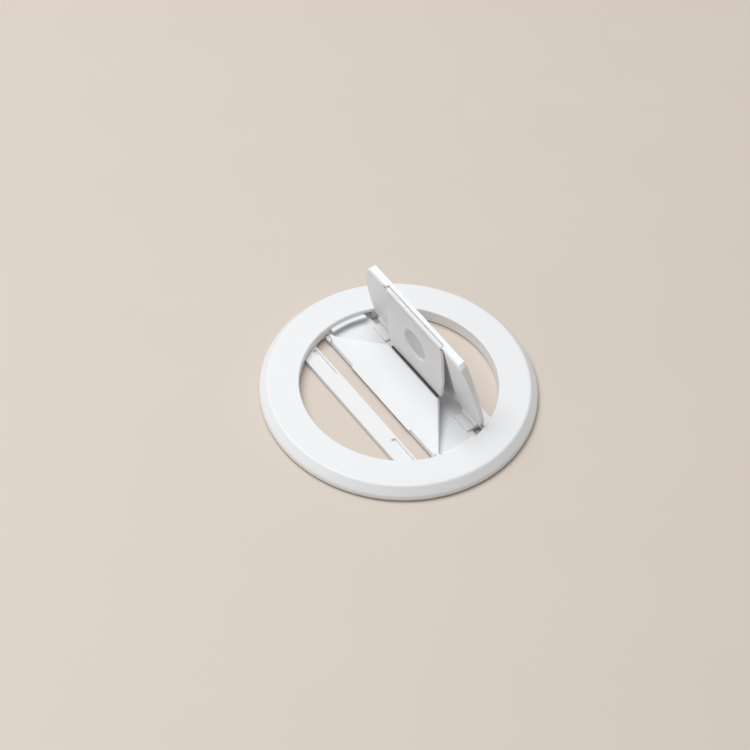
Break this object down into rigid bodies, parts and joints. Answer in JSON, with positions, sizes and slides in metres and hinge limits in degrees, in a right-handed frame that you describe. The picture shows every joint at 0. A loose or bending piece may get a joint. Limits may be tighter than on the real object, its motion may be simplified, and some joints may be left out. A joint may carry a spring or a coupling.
{
  "type": "magnetic phone holder",
  "caption": "Flat white ring that grips the back of a phone by magnets, with a flap that folds up out of its well on a jointed stay to prop the phone or give fingers a hold.",
  "frame": {"origin": "centre of the ring on the flat face that lies on the phone", "axes": "+Z away from the phone, hinge lines along Y, the flap's hinge on the +X side of the ring"},
  "size_m": [0.058, 0.058, 0.0227],
  "materials": {
    "shell_white": "satin white moulding",
    "base_white": "satin white moulding",
    "stay_white": "satin white moulding",
    "pad_white": "matte white soft pad",
    "magnet_steel": "plated",
    "pin_steel": "ground",
    "knee_black": "matte black hinge strip"
  },
  "bodies": {
    "base": {"top_ring": "shell_white", "base_plate": "base_white", "base_pad": "pad_white", "shield_ring": "magnet_steel", "magnet_01": "magnet_steel", "magnet_02": "magnet_steel", "magnet_03": "magnet_steel", "magnet_04": "magnet_steel", "magnet_05": "magnet_steel", "magnet_06": "magnet_steel", "magnet_07": "magnet_steel", "magnet_08": "magnet_steel", "magnet_09": "magnet_steel", "magnet_10": "magnet_steel", "magnet_11": "magnet_steel", "magnet_12": "magnet_steel", "magnet_13": "magnet_steel", "magnet_14": "magnet_steel", "magnet_15": "magnet_steel", "magnet_16": "magnet_steel"},
    "flap": {"flap": "shell_white", "flap_pin_1": "pin_steel", "flap_pin_2": "pin_steel", "upper_pin_1": "pin_steel", "upper_pin_2": "pin_steel"},
    "upper_stay": {"stay_upper": "stay_white"},
    "lower_stay": {"stay_lower": "stay_white", "knee_strip": "knee_black", "lower_pin_1": "pin_steel", "lower_pin_2": "pin_steel"}
  },
  "joints": [
    {"name": "flap_hinge", "type": "hinge", "parent": "base", "child": "flap", "pos_m": [0.008, 0, 0.00215], "axis": [0, 1, 0], "range_deg": [-76, 14]},
    {"name": "upper_hinge", "type": "hinge", "parent": "flap", "child": "upper_stay", "pos_m": [0.00287, 0, 0.02148], "axis": [0, 1, 0], "range_deg": [-8.65, 1.65]},
    {"name": "lower_hinge", "type": "hinge", "parent": "base", "child": "lower_stay", "pos_m": [-0.00435, 0, 0.001], "axis": [0, -1, 0], "range_deg": [-22.25, 4.15]}
  ],
  "couplings": [
    {"joint": "upper_hinge", "follows": "flap_hinge", "ratio": 0.11338},
    {"joint": "lower_hinge", "follows": "flap_hinge", "ratio": 0.29191}
  ]
}
